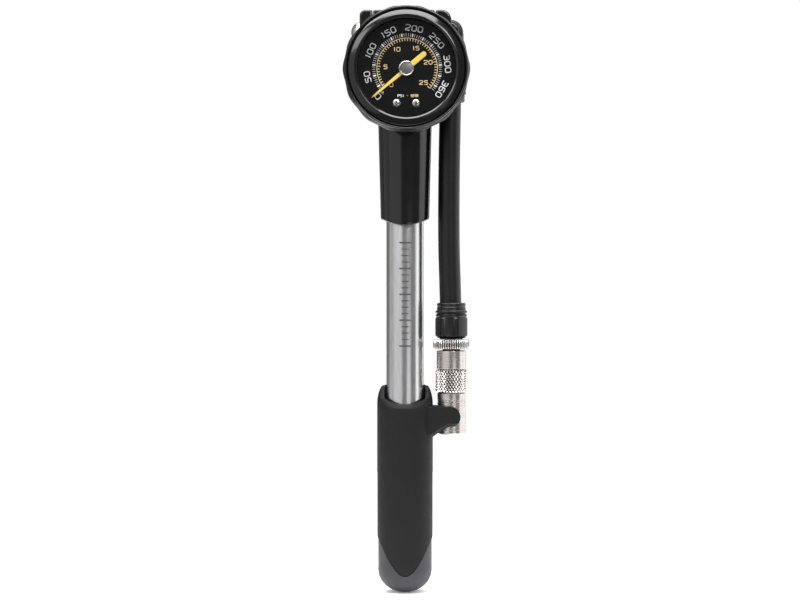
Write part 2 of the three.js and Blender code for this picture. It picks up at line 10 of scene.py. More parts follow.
import bpy
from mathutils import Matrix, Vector


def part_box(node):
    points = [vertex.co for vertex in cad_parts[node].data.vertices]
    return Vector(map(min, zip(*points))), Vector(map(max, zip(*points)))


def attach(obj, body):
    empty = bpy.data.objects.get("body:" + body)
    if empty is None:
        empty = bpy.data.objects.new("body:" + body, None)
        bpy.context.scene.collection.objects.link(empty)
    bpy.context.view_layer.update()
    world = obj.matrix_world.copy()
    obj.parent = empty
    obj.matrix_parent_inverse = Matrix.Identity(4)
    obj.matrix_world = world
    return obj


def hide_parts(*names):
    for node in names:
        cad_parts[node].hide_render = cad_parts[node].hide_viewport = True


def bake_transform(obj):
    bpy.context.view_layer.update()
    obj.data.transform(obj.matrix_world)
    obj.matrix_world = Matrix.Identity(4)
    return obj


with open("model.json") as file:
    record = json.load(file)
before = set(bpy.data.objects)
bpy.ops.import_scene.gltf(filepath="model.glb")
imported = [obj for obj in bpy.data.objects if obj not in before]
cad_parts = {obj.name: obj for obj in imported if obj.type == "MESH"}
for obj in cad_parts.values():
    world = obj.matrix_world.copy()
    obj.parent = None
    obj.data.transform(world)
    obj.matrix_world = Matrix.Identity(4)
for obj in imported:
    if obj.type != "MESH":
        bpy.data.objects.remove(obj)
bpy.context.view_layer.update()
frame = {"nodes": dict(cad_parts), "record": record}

MM = 0.001
FINE = 96  # sides of a large round piece
SMALL = 48
PI = math.pi


# ---------------------------------------------------------------- places, from the frame
def low_of(node):
    """The node's lowest corner, in millimetres."""
    return Vector(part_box(node)[0]) / MM


def high_of(node):
    return Vector(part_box(node)[1]) / MM


def middle_of(node):
    return (low_of(node) + high_of(node)) / 2


BARREL = middle_of("barrel_tube").xy
BARREL_AXIS = (BARREL.x, BARREL.y, 0)
CHUCK = middle_of("chuck_tube").xy
CHUCK_AXIS = (CHUCK.x, CHUCK.y, 0)
DIAL_CENTRE = (middle_of("gauge_dial").x, BARREL.y, middle_of("gauge_dial").z)
SWIVEL_CENTRE = (middle_of("swivel_elbow").x, BARREL.y, middle_of("swivel_bolt").z)
BLEED_CENTRE = (BARREL.x, middle_of("bleed_button").y, middle_of("bleed_button").z)
CROSS_Z = SWIVEL_CENTRE[2]
HEAD_TOP = high_of("head_housing").z


# ---------------------------------------------------------------- shop tools
def select_only(obj):
    bpy.ops.object.select_all(action="DESELECT")
    obj.select_set(True)
    bpy.context.view_layer.objects.active = obj


def apply_modifier(obj, kind, **settings):
    modifier = obj.modifiers.new(kind.lower(), kind)
    for key, value in settings.items():
        setattr(modifier, key, value)
    select_only(obj)
    bpy.ops.object.modifier_apply(modifier=modifier.name)


def soften(obj, width, segments=3, angle=32):
    """Rounds every edge that is sharper than the angle, in degrees."""
    limit = math.radians(angle)
    apply_modifier(obj, "BEVEL", width=width, segments=segments, limit_method="ANGLE", angle_limit=limit)


def smooth(obj, angle=38):
    select_only(obj)
    bpy.ops.object.shade_smooth_by_angle(angle=math.radians(angle))


def cut(obj, tool):
    """Cuts the tool's shape out of a piece, and throws the tool away."""
    apply_modifier(obj, "BOOLEAN", operation="DIFFERENCE", object=tool, solver="EXACT")
    bpy.data.objects.remove(tool)


def clean(obj):
    """Welds points that meet and turns the faces out."""
    select_only(obj)
    bpy.ops.object.mode_set(mode="EDIT")
    bpy.ops.mesh.select_all(action="SELECT")
    bpy.ops.mesh.remove_doubles(threshold=0.002)
    bpy.ops.mesh.normals_make_consistent(inside=False)
    bpy.ops.object.mode_set(mode="OBJECT")


def turned(name, profile, sides=FINE, bevel=0.0, around=None, segments=3):
    """A turned piece about Z: a ring is extruded and scaled along the profile's (radius, height) points.

    The profile runs from axis to axis, or is a loop off it. around(angle, radius, height, row) may give each
    point of a ring its own radius and height; its angle is measured from the front towards +X."""
    hollow = profile[0][0] > 0
    rows = [*profile, profile[0]] if hollow else list(profile)
    rows = [(max(radius, 0.0005), height) for radius, height in rows]
    bpy.ops.object.select_all(action="DESELECT")
    bpy.ops.mesh.primitive_circle_add(vertices=sides, radius=rows[0][0])
    obj = bpy.context.object
    obj.name = obj.data.name = name
    bpy.ops.object.mode_set(mode="EDIT")
    bpy.ops.mesh.select_all(action="SELECT")
    bpy.ops.transform.translate(value=(0, 0, rows[0][1]))
    for (radius, height), (next_radius, next_height) in zip(rows, rows[1:]):
        bpy.ops.mesh.extrude_region_move(TRANSFORM_OT_translate={"value": (0, 0, next_height - height)})
        growth = next_radius / radius
        bpy.ops.transform.resize(value=(growth, growth, 1), center_override=(0, 0, 0))
    bpy.ops.object.mode_set(mode="OBJECT")
    if around:
        for index, vertex in enumerate(obj.data.vertices):
            row = index // sides % len(profile)
            angle = math.atan2(vertex.co.x, -vertex.co.y)
            radius, height = around(angle, rows[index // sides][0], rows[index // sides][1], row)
            vertex.co = (radius * math.sin(angle), -radius * math.cos(angle), height)
    clean(obj)
    if bevel:
        soften(obj, bevel, segments)
    smooth(obj)
    return obj


def plate(name, outline, low, high, bevel=0.0):
    """A flat piece about Z: a filled ring of points is pulled to the outline and extruded."""
    bpy.ops.object.select_all(action="DESELECT")
    bpy.ops.mesh.primitive_circle_add(vertices=len(outline), radius=1, fill_type="NGON")
    obj = bpy.context.object
    obj.name = obj.data.name = name
    for vertex, (x, y) in zip(obj.data.vertices, outline):
        vertex.co = (x, y, low)
    bpy.ops.object.mode_set(mode="EDIT")
    bpy.ops.mesh.select_all(action="SELECT")
    bpy.ops.mesh.extrude_region_move(TRANSFORM_OT_translate={"value": (0, 0, high - low)})
    bpy.ops.object.mode_set(mode="OBJECT")
    clean(obj)
    if bevel:
        soften(obj, bevel)
    smooth(obj)
    return obj


def moved(obj, by, turn=(0, 0, 0)):
    """Turns a piece within its own frame, then moves it there, in millimetres."""
    select_only(obj)
    obj.rotation_euler = turn
    obj.location = by
    bpy.ops.object.transform_apply(location=True, rotation=True)


def arc(centre, radius, start, stop, steps):
    """Points along an arc, with its angles in degrees."""
    angles = [math.radians(start + (stop - start) * step / steps) for step in range(steps + 1)]
    return [(centre[0] + radius * math.cos(a), centre[1] + radius * math.sin(a)) for a in angles]


FACING = {"up": (0, 0, 0), "front": (PI / 2, 0, 0), "left": (0, -PI / 2, 0)}


def settle(obj, at, facing="up"):
    """Puts a piece made in millimetres at its place. "front" turns its own Z to -Y, and "left" to -X."""
    select_only(obj)
    obj.rotation_euler = FACING[facing]
    obj.scale = (MM, MM, MM)
    obj.location = Vector(at) * MM
    bpy.ops.object.transform_apply(location=True, rotation=True, scale=True)
    return obj


def fit(obj, body, slot, material, *nodes):
    """Gives a finished piece its material, and joins it to the pump."""
    obj.data.materials.clear()
    obj.data.materials.append(material)
    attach(obj, body)
    if nodes:
        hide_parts(*nodes)
    return obj


# ---------------------------------------------------------------- materials
def new_material(name, color, roughness, metallic=0.0, **extra):
    """A material whose shader has these plain values; links added later take the place of some of them."""
    material = bpy.data.materials.new(name)
    material.use_nodes = True
    shader = material.node_tree.nodes["Principled BSDF"]
    shader.inputs["Base Color"].default_value = (*color, 1)
    shader.inputs["Roughness"].default_value = roughness
    shader.inputs["Metallic"].default_value = metallic
    for socket, value in extra.items():
        shader.inputs[socket.replace("_", " ")].default_value = value
    return material


def grain(material, scale, detail=3.0, stretch=(1, 1, 1)):
    """A noise over the piece, in cycles per metre, which stretch multiplies along each direction."""
    tree = material.node_tree
    where = tree.nodes.new("ShaderNodeTexCoord")
    mapping = tree.nodes.new("ShaderNodeMapping")
    mapping.inputs["Scale"].default_value = stretch
    noise = tree.nodes.new("ShaderNodeTexNoise")
    noise.inputs["Scale"].default_value = scale
    noise.inputs["Detail"].default_value = detail
    tree.links.new(where.outputs["Object"], mapping.inputs["Vector"])
    tree.links.new(mapping.outputs["Vector"], noise.inputs["Vector"])
    return noise.outputs["Fac"]


def tint(material, pattern, dark, light):
    """Colours the surface between two shades by the middle of a pattern's range."""
    tree = material.node_tree
    ramp = tree.nodes.new("ShaderNodeValToRGB")
    ramp.color_ramp.elements[0].position = 0.3
    ramp.color_ramp.elements[0].color = (*dark, 1)
    ramp.color_ramp.elements[1].position = 0.7
    ramp.color_ramp.elements[1].color = (*light, 1)
    tree.links.new(pattern, ramp.inputs["Fac"])
    tree.links.new(ramp.outputs["Color"], tree.nodes["Principled BSDF"].inputs["Base Color"])


def vary_roughness(material, pattern, low, high):
    tree = material.node_tree
    spread = tree.nodes.new("ShaderNodeMapRange")
    spread.inputs["To Min"].default_value = low
    spread.inputs["To Max"].default_value = high
    tree.links.new(pattern, spread.inputs["Value"])
    tree.links.new(spread.outputs["Result"], tree.nodes["Principled BSDF"].inputs["Roughness"])


def roughen(material, pattern, height_mm):
    """Raises the shaded surface by a pattern, up to a height in millimetres."""
    tree = material.node_tree
    bump = tree.nodes.new("ShaderNodeBump")
    bump.inputs["Distance"].default_value = height_mm * MM
    bump.inputs["Strength"].default_value = 1
    tree.links.new(pattern, bump.inputs["Height"])
    tree.links.new(bump.outputs["Normal"], tree.nodes["Principled BSDF"].inputs["Normal"])


def grey(value):
    return (value, value, value)


def moulded(name, color, roughness, spread=0.08, texture_mm=0.01, texture_scale=2500, gloss=0.5):
    """Moulded plastic or rubber: a fine skin texture, and slow patches of cleaner and duller surface."""
    material = new_material(name, color, roughness, Specular_IOR_Level=gloss)
    tint(material, grain(material, 90), [c * 0.86 for c in color], [c * 1.16 for c in color])
    vary_roughness(material, grain(material, 240, 5), roughness - spread, roughness + spread)
    roughen(material, grain(material, texture_scale, 2), texture_mm)
    return material


def machined(name, color, roughness, stretch=(1, 1, 40), spread=0.08, height_mm=0.002):
    """Metal with fine tool marks, close together along the direction that stretch raises."""
    material = new_material(name, color, roughness, 1.0)
    marks = grain(material, 160, 4, stretch)
    tint(material, marks, [c * 0.88 for c in color], [min(c * 1.06, 1) for c in color])
    vary_roughness(material, marks, roughness - spread, roughness + spread)
    roughen(material, marks, height_mm)
    return material


GLOSS_BLACK = moulded("gloss_black_plastic", grey(0.0025), 0.15, 0.04, 0.0015, 500, gloss=0.6)
BEZEL_BLACK = moulded("gloss_bezel_plastic", grey(0.004), 0.13, 0.04, 0.001, 500)
SATIN_BLACK = moulded("satin_black_plastic", grey(0.006), 0.36, 0.08, 0.006, gloss=0.4)
GRIP_RUBBER = moulded("grip_rubber", (0.0036, 0.0036, 0.0041), 0.60, 0.08, 0.025, 1800, gloss=0.22)
BUMPER_RUBBER = moulded("bumper_rubber", grey(0.006), 0.42, 0.08, 0.012, gloss=0.4)
BOOT_RUBBER = moulded("boot_rubber", (0.0022, 0.0022, 0.0028), 0.30, 0.06, 0.010, gloss=0.4)
HOSE_RUBBER = moulded("hose_rubber", (0.0024, 0.0024, 0.0028), 0.38, 0.06, 0.018, 1500, gloss=0.36)
SEAL_RUBBER = moulded("seal_rubber", grey(0.005), 0.45)
CAP_PLASTIC = moulded("end_cap_plastic", (0.027, 0.026, 0.032), 0.50, 0.06, 0.010, 2200, gloss=0.35)
DIAL_BLACK = moulded("dial_black_paint", grey(0.002), 0.60, 0.05, 0.002, gloss=0.04)
WHITE_INK = moulded("white_ink", (0.93, 0.94, 0.95), 0.5, 0.05, 0.001, gloss=0.3)
GOLD_INK = moulded("gold_ink", (0.88, 0.70, 0.36), 0.5, 0.05, 0.001, gloss=0.3)
GREY_INK = moulded("grey_ink", grey(0.045), 0.5, 0.05, 0.001)
NEEDLE_YELLOW = moulded("needle_yellow_paint", (0.90, 0.62, 0.095), 0.42, 0.05, 0.001)
BARREL_METAL = machined("brushed_barrel", (0.66, 0.66, 0.67), 0.25, (26, 26, 1), 0.05, 0.002)
NICKEL = machined("satin_nickel", (0.66, 0.62, 0.595), 0.26)
HUB_STEEL = machined("dull_steel", (0.30, 0.295, 0.29), 0.36)
ROD_STEEL = machined("polished_steel", (0.60, 0.60, 0.61), 0.16, spread=0.05, height_mm=0.001)
BRASS = machined("machined_brass", (0.74, 0.52, 0.24), 0.30)


def nickel_with_painted_cut_shade(name, root, crest):
    """Nickel with painted shade in its cuts: the colour darkens towards the root radius of the cuts, and is
    full at their crests.
    """
    color = (0.71, 0.67, 0.64)
    material = new_material(name, color, 0.24, 1.0)
    tree = material.node_tree
    where = tree.nodes.new("ShaderNodeTexCoord")
    mapping = tree.nodes.new("ShaderNodeMapping")
    mapping.inputs["Location"].default_value = (-CHUCK.x * MM, -CHUCK.y * MM, 0)
    mapping.inputs["Scale"].default_value = (1, 1, 0)
    length = tree.nodes.new("ShaderNodeVectorMath")
    length.operation = "LENGTH"
    depth = tree.nodes.new("ShaderNodeMapRange")
    depth.inputs["From Min"].default_value = root * MM
    depth.inputs["From Max"].default_value = crest * MM
    tree.links.new(where.outputs["Object"], mapping.inputs["Vector"])
    tree.links.new(mapping.outputs["Vector"], length.inputs[0])
    tree.links.new(length.outputs["Value"], depth.inputs["Value"])
    # painted shade: the colour falls to about a fifth at the cuts' root radius
    tint(material, depth.outputs["Result"], [c * 0.21 for c in color], color)
    vary_roughness(material, grain(material, 900), 0.18, 0.32)
    return material


LENS = new_material("clear_lens", (0.004, 0.004, 0.005), 0.04, Alpha=0.09, IOR=3.0)
vary_roughness(LENS, grain(LENS, 60), 0.02, 0.06)

CARRIED_OVER = {
    "grip_rubber": GRIP_RUBBER,
    "clip_plastic": GRIP_RUBBER,
    "cap_plastic": CAP_PLASTIC,
    "satin_plastic": SATIN_BLACK,
    "gloss_housing": GLOSS_BLACK,
    "gauge_shell": BEZEL_BLACK,
    "bumper_rubber": BUMPER_RUBBER,
    "boot_rubber": BOOT_RUBBER,
    "hose_rubber": HOSE_RUBBER,
    "seal_rubber": SEAL_RUBBER,
    "brushed_barrel": BARREL_METAL,
    "nickel": NICKEL,
    "steel": ROD_STEEL,
    "brass": BRASS,
    "dial_print": DIAL_BLACK,
    "needle_paint": NEEDLE_YELLOW,
    "lens": LENS,
}


def finish_cad_nodes():
    """The pieces that keep their CAD shape, nearly all inside, take the finish that the record names."""
    for subpart in frame["record"]["subparts"]:
        obj = frame["nodes"][subpart["node"]]
        obj.data.materials.clear()
        obj.data.materials.append(CARRIED_OVER[subpart["material_slot"]])


finish_cad_nodes()


# ---------------------------------------------------------------- camera, lights and floor
CAMERA_DISTANCE = 850  # from the barrel's axis
CAMERA_HEIGHT = 113.8
CAMERA_ASIDE = 1.95  # left of the barrel's axis
SENSOR_WIDTH = 36
VIEW_WIDTH = 312  # of the view at the barrel's axis


def aim(obj, target):
    obj.rotation_euler = (Vector(target) - obj.location).to_track_quat("-Z", "Y").to_euler()


def camera():
    data = bpy.data.cameras.new("camera")
    data.sensor_width = SENSOR_WIDTH
    data.lens = SENSOR_WIDTH * CAMERA_DISTANCE / VIEW_WIDTH
    data.clip_start = 0.01
    obj = bpy.data.objects.new("camera", data)
    x = BARREL.x - CAMERA_ASIDE
    obj.location = Vector((x, BARREL.y - CAMERA_DISTANCE, CAMERA_HEIGHT)) * MM
    aim(obj, Vector((x, 0, CAMERA_HEIGHT)) * MM)
    bpy.context.collection.objects.link(obj)
    bpy.context.scene.camera = obj


def softbox(name, azimuth, distance, height, size, radiance):
    """A flat panel of even radiance. Its azimuth is in degrees from the camera's side, -Y, towards +X."""
    data = bpy.data.lights.new(name, "AREA")
    data.shape = "RECTANGLE"
    data.size, data.size_y = size
    data.energy = radiance * PI * size[0] * size[1]
    obj = bpy.data.objects.new(name, data)
    turn = math.radians(azimuth)
    obj.location = (distance * math.sin(turn), -distance * math.cos(turn), height)
    aim(obj, (0, 0, 0.13))
    bpy.context.collection.objects.link(obj)


def studio():
    softbox("left_panel", -45, 1.1, 0.25, (1.15, 1.6), 0.56)
    softbox("left_far_panel", -92, 1.1, 0.25, (0.85, 1.6), 0.32)
    softbox("front_card", 23, 1.4, -0.17, (0.56, 0.56), 0.85)
    softbox("right_strip", 85, 1.0, 0.25, (0.52, 1.6), 1.25)
    softbox("right_back_panel", 126, 1.0, 0.25, (0.93, 1.6), 1.2)
    softbox("left_high_panel", -42, 1.0, 0.72, (0.55, 0.32), 5.0)
    softbox("right_high_panel", 24, 1.0, 0.70, (0.36, 0.32), 12.0)
    softbox("top_front_panel", -14, 0.55, 1.20, (1.4, 0.6), 11.0)
    softbox("top_panel", 160, 0.3, 1.30, (1.4, 1.0), 3.0)
    world = bpy.data.worlds.new("studio")
    world.use_nodes = True
    bpy.context.scene.world = world
    tree = world.node_tree
    dim = tree.nodes["Background"]
    dim.inputs["Color"].default_value = (0.20, 0.20, 0.20, 1)
    bright = tree.nodes.new("ShaderNodeBackground")
    bright.inputs["Color"].default_value = (1, 1, 1, 1)
    seen = tree.nodes.new("ShaderNodeLightPath")
    mix = tree.nodes.new("ShaderNodeMixShader")
    tree.links.new(seen.outputs["Is Camera Ray"], mix.inputs["Fac"])
    tree.links.new(dim.outputs["Background"], mix.inputs[1])
    tree.links.new(bright.outputs["Background"], mix.inputs[2])
    tree.links.new(mix.outputs["Shader"], tree.nodes["World Output"].inputs["Surface"])
    bpy.context.scene.view_settings.view_transform = "Standard"


def floor():
    bpy.ops.object.select_all(action="DESELECT")
    bpy.ops.mesh.primitive_circle_add(vertices=96, radius=0.36, fill_type="NGON", location=(0, 0.24, 0))
    bpy.ops.object.transform_apply(location=True)
    obj = bpy.context.object
    obj.name = "floor"
    material = new_material("pale_floor", (0.93, 0.93, 0.93), 0.7, Emission_Strength=0.2)
    material.node_tree.nodes["Principled BSDF"].inputs["Emission Color"].default_value = (1, 1, 1, 1)
    tint(material, grain(material, 3), (0.92, 0.92, 0.92), (0.94, 0.94, 0.94))
    obj.data.materials.append(material)


camera()
studio()
floor()


# ---------------------------------------------------------------- hose
HOSE_RADIUS = 4.2
# The hose's middle line as [x, z] points, from the swivel's neck down to the chuck, from the barrel's axis.
HOSE_ROUTE = [
    [17.7, 203.5],
    [17.66, 190],
    [17.3, 169],
    [17.12, 150],
    [17.2, 134],
    [17.6, 120],
    [18.1, 101],
]


def eased(points, between=12):
    """More points on a smooth curve through these."""
    padded = [points[0], *points, points[-1]]
    result = []
    for before, start, end, after in zip(padded, padded[1:], padded[2:], padded[3:]):
        for step in range(between):
            t = step / between
            result.append(
                0.5 * ((2 * start) + (end - before) * t + (2 * before - 5 * start + 4 * end - after) * t ** 2
                       + (3 * start - before - 3 * end + after) * t ** 3)
            )
    return [*result, points[-1]]


def hose():
    route = eased([Vector((BARREL.x + x, CHUCK.y, z)) * MM for x, z in HOSE_ROUTE])
    curve = bpy.data.curves.new("pressure_hose", "CURVE")
    curve.dimensions = "3D"
    curve.bevel_depth = HOSE_RADIUS * MM
    curve.bevel_resolution = 10
    curve.use_fill_caps = True
    spline = curve.splines.new("POLY")
    spline.points.add(len(route) - 1)
    for point, place in zip(spline.points, route):
        point.co = (*place, 1)
    obj = bpy.data.objects.new("pressure_hose", curve)
    bpy.context.collection.objects.link(obj)
    select_only(obj)
    bpy.ops.object.convert(target="MESH")
    obj = bpy.context.object
    smooth(obj, 60)
    obj.data.materials.append(HOSE_RUBBER)
    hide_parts("hose")
    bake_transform(obj)


# ---------------------------------------------------------------- handle
GRIP_RADIUS = 10.85
GRIP_STRAIGHT_FROM, GRIP_STRAIGHT_TO = 28, 70  # the grip's foot and mouth are shaped outside these heights
DOME_RADIUS = 10.5
DOME_HEIGHT = 8.7
CORE_RADIUS = 9.3
SEAM = 0.12  # half the gap between the grip and the end cap


def cap_edge(angle):
    """Height of the seam between the grip and the end cap, which hangs low at the front and back."""
    side = math.sin(angle) ** 2
    return 7.2 + 14.3 * side * (1.25 - 0.25 * side)


def dome_radius(height):
    if height >= DOME_HEIGHT:
        return DOME_RADIUS
    return DOME_RADIUS * math.sqrt(1 - ((DOME_HEIGHT - height) / DOME_HEIGHT) ** 2)


def mouth_rise(angle):
    """0 in the scoop at the front of the grip's mouth, 1 at its side peaks and a little less at the back."""
    from_side = math.asin(max(min(math.cos(angle), 1), -1))
    if from_side < 0:
        return 1 - 0.12 * math.sin(from_side) ** 2
    return 0.35 * math.sin(angle) ** 2 + 0.65 * math.exp(-((from_side / 0.19) ** 2))


def grip_surface(angle, radius, height, row):
    """The grip's plain section, bent to the seam at its foot and to the scooped mouth at its top."""
    if height < GRIP_STRAIGHT_FROM:
        foot = cap_edge(angle) + SEAM
        height = foot + (height - 7) * (GRIP_STRAIGHT_FROM - foot) / (GRIP_STRAIGHT_FROM - 7)
        if radius > CORE_RADIUS + 0.5:
            swell = 0.35 + 0.65 * min(max((height - DOME_HEIGHT) / 15, 0), 1)
            radius = radius - GRIP_RADIUS + dome_radius(height) + (GRIP_RADIUS - DOME_RADIUS) * swell
        return radius, height
    if height < GRIP_STRAIGHT_TO:
        return radius, height
    rise = mouth_rise(angle)
    along = min(max((height - 71.8) / 1.5, 0), 1)
    if radius < 9:
        radius -= 0.75 * rise ** 3
    return radius, height + rise * (2.2 + 5.3 * along)


def grip():
    lip = [
        (8.4 + 2.45 * math.cos(math.radians(turn)) ** 1.2, 71.8 + 1.5 * math.sin(math.radians(turn)) ** 1.2)
        for turn in (14, 30, 45, 58, 70, 80, 90)
    ]
    profile = [
        (CORE_RADIUS, 7),
        (GRIP_RADIUS - 0.3, 7),
        (GRIP_RADIUS, 7.5),
        (GRIP_RADIUS, 10),
        (GRIP_RADIUS, 14),
        (GRIP_RADIUS, 18),
        (GRIP_RADIUS, 23),
        (GRIP_RADIUS, GRIP_STRAIGHT_FROM),
        (GRIP_RADIUS, 60),
        (GRIP_RADIUS, 71.5),
        *lip,
        (8.2, 73.1),
        (8.15, 71.5),
        (8.15, 68),
        (CORE_RADIUS, 67),
    ]
    obj = turned("handle_rubber", profile, sides=144, around=grip_surface)
    smooth(obj, 60)
    settle(obj, BARREL_AXIS)
    fit(obj, "handle", "grip_rubber", GRIP_RUBBER, "handle_grip")


CAP_STEPS = 11  # rings of the end cap's outside, above its tip
CAP_ROUND = DOME_RADIUS * 1.45  # about the length of its rounded part, followed from the tip


def end_cap_surface(angle, radius, height, row):
    """Spaces the outside's rings evenly from the tip up to the seam. The next ring is just inside it."""
    edge = cap_edge(angle) - SEAM
    if row > CAP_STEPS + 1:
        return radius, height
    if row == CAP_STEPS + 1:
        return CORE_RADIUS - 0.15, edge
    if row == CAP_STEPS:
        return dome_radius(edge), edge
    rounded_length = CAP_ROUND * math.acos(max(1 - edge / DOME_HEIGHT, 0)) / (PI / 2)
    walked = (rounded_length + max(edge - DOME_HEIGHT, 0)) * row / CAP_STEPS
    if walked < rounded_length:
        height = DOME_HEIGHT * (1 - math.cos(walked / CAP_ROUND * PI / 2))
        return dome_radius(height), height
    return DOME_RADIUS, DOME_HEIGHT + walked - CAP_ROUND


def end_cap():
    outside = [(row + 0.1, row) for row in range(1, CAP_STEPS + 1)]
    profile = [(0, 0), *outside, (CORE_RADIUS, 14), (CORE_RADIUS - 0.3, 6.8), (0, 6.8)]
    obj = turned("end_cap", profile, sides=144, around=end_cap_surface)
    smooth(obj, 50)
    settle(obj, BARREL_AXIS)
    fit(obj, "handle", "cap_plastic", CAP_PLASTIC, "handle_end_cap")


CLIP_TOP = 72.5
CLIP_END_RADIUS = 4.1
CLIP_CHANNEL = 5.6
CLIP_WALL = 1.85
CLIP_CHAMFER = 1.6


def chamfer_front(obj, front):
    """Carries the front face forward, and lifts its lower edge, so that the underside is chamfered there."""
    select_only(obj)
    bpy.ops.object.mode_set(mode="EDIT")
    bpy.ops.mesh.select_mode(type="FACE")
    bpy.ops.mesh.select_all(action="DESELECT")
    bpy.ops.object.mode_set(mode="OBJECT")
    face = max(obj.data.polygons, key=lambda polygon: polygon.center.z)
    face.select = True
    bpy.ops.object.mode_set(mode="EDIT")
    bpy.ops.mesh.extrude_region_move(TRANSFORM_OT_translate={"value": (0, 0, CLIP_CHAMFER)})
    bpy.ops.mesh.select_mode(type="VERT")
    bpy.ops.object.mode_set(mode="OBJECT")
    for vertex in obj.data.vertices:
        if vertex.co.z > front - 0.01 and vertex.co.y < 66:
            vertex.co.y += CLIP_CHAMFER * 0.9 * min((66 - vertex.co.y) / 1.5, 1)
    clean(obj)


def clip():
    """The C-shaped hook that holds the chuck: a plate of its side view, with the chuck's channel in it."""
    chuck_x = CHUCK.x - BARREL.x
    forward = CHUCK.y - BARREL.y
    end_x = chuck_x - 0.7
    reach = CLIP_CHANNEL + CLIP_WALL
    side_view = [
        (7.5, CLIP_TOP),
        *arc((end_x, CLIP_TOP - CLIP_END_RADIUS), CLIP_END_RADIUS, 90, -63, 18),
        (16.8, 64.55),
        (14.9, 63.5),
        (12.9, 62.3),
        (GRIP_RADIUS + 0.2, 60.9),
        (9.6, 60.2),
        (7.5, 59.6),
    ]
    obj = plate("chuck_hook", side_view, -reach, reach - CLIP_CHAMFER)
    chamfer_front(obj, reach)
    moved(obj, (0, forward, 0), FACING["front"])
    channel_outline = [*arc((0, 0), CLIP_CHANNEL, 90, 270, 28), (12, -CLIP_CHANNEL), (12, CLIP_CHANNEL)]
    channel = plate("channel_cutter", channel_outline, 50, 80)
    moved(channel, (chuck_x, forward, 0))
    cut(obj, channel)
    soften(obj, 0.75, 4, 40)
    smooth(obj, 45)
    settle(obj, BARREL_AXIS)
    fit(obj, "handle", "clip_plastic", GRIP_RUBBER, "chuck_clip")


def pump_rod():
    rod = turned("pump_rod", [(0, 9), (3, 9), (3, 180), (0, 180)], SMALL, bevel=0.3)
    settle(rod, BARREL_AXIS)
    fit(rod, "handle", "steel", ROD_STEEL, "piston_rod")


# ---------------------------------------------------------------- barrel
BARREL_RADIUS = 7.25
BARREL_FOOT = 20
SCALE_LOW, SCALE_HIGH, SCALE_STEP = 96, 137, 2.5


def barrel():
    tube_profile = [(6.1, BARREL_FOOT), (BARREL_RADIUS, BARREL_FOOT), (BARREL_RADIUS, 190), (6.1, 190)]
    tube = turned("barrel", tube_profile, 128, bevel=0.25)
    settle(tube, BARREL_AXIS)
    fit(tube, "pump_head", "brushed_barrel", BARREL_METAL, "barrel_tube")
    gland_profile = [
        (3.3, 20.2), (3.3, 30), (5.8, 30), (5.8, 19.7), (7.2, 19.7), (7.2, 17.7), (4.9, 17.7), (4.9, 20.2)
    ]
    gland = turned("barrel_gland_ring", gland_profile, bevel=0.3)
    settle(gland, BARREL_AXIS)
    fit(gland, "pump_head", "satin_plastic", SATIN_BLACK, "barrel_gland")


def barrel_scale():
    """A plain scale printed up the front of the barrel: short strokes that bend round it."""
    bpy.ops.object.select_all(action="DESELECT")
    bpy.ops.mesh.primitive_plane_add(size=1)
    obj = bpy.context.object
    obj.name = obj.data.name = "barrel_print"
    bpy.ops.object.mode_set(mode="EDIT")
    bpy.ops.mesh.delete(type="VERT")
    marks = round((SCALE_HIGH - SCALE_LOW) / SCALE_STEP)
    for mark in range(marks + 1):
        width = 4.4 if mark % 4 == 0 else 2.8
        thickness = 0.6 if mark % 4 == 0 else 0.42
        height = SCALE_LOW + mark * SCALE_STEP
        bpy.ops.mesh.primitive_grid_add(x_subdivisions=10, y_subdivisions=1, size=1, location=(0, height, 0))
        bpy.ops.transform.resize(value=(width, thickness, 1), center_override=(0, height, 0))
    bpy.ops.object.mode_set(mode="OBJECT")
    face = BARREL_RADIUS + 0.02
    for vertex in obj.data.vertices:
        vertex.co = (vertex.co.x, -math.sqrt(face ** 2 - vertex.co.x ** 2), vertex.co.y)
    apply_modifier(obj, "SOLIDIFY", thickness=0.03, offset=-1)
    smooth(obj)
    settle(obj, BARREL_AXIS)
    fit(obj, "pump_head", "dial_print", GREY_INK)


# ---------------------------------------------------------------- head
SLEEVE_FOOT = 142.6
SLEEVE_FOOT_RADIUS = 9.45
SLEEVE_TOP_RADIUS = 11.7
LUG_LOW = 209.4
LUG_HIGH = 225.8
LUG_FRONT, LUG_BACK = 9.5, -6.5  # forward of the barrel's axis


def sleeve():
    def shaped(angle, radius, height, row):
        if height < SLEEVE_FOOT + 1.5:
            height += 2.8 * math.sin(angle) ** 2
        return radius, height

    profile = [
        (0, HEAD_TOP),
        (SLEEVE_TOP_RADIUS - 0.1, HEAD_TOP),
        (SLEEVE_FOOT_RADIUS + 0.02, SLEEVE_FOOT + 1.2),
        (SLEEVE_FOOT_RADIUS, SLEEVE_FOOT),
        (7.55, SLEEVE_FOOT),
        (7.5, 190),
        (0, 190),
    ]
    obj = turned("head_sleeve", profile, 128, bevel=0.45, around=shaped)
    settle(obj, BARREL_AXIS)
    fit(obj, "pump_head", "gloss_housing", GLOSS_BLACK, "head_housing")


def block(name, inner, outer, corner, back=LUG_BACK):
    """A block of the bar across the head, from x = inner to x = outer, with its outer corners rounded."""
    side = math.copysign(1, outer - inner)
    turn = (0, 90) if side > 0 else (180, 90)
    upper = arc((outer - side * corner, LUG_HIGH - corner), corner, *turn, 8)
    turn = (-90, 0) if side > 0 else (-90, -180)
    lower = arc((outer - side * corner, LUG_LOW + corner), corner, *turn, 8)
    obj = plate(name, [(inner, LUG_LOW), *lower, *upper, (inner, LUG_HIGH)], back, LUG_FRONT)
    soften(obj, 0.7, 4, 40)
    return obj


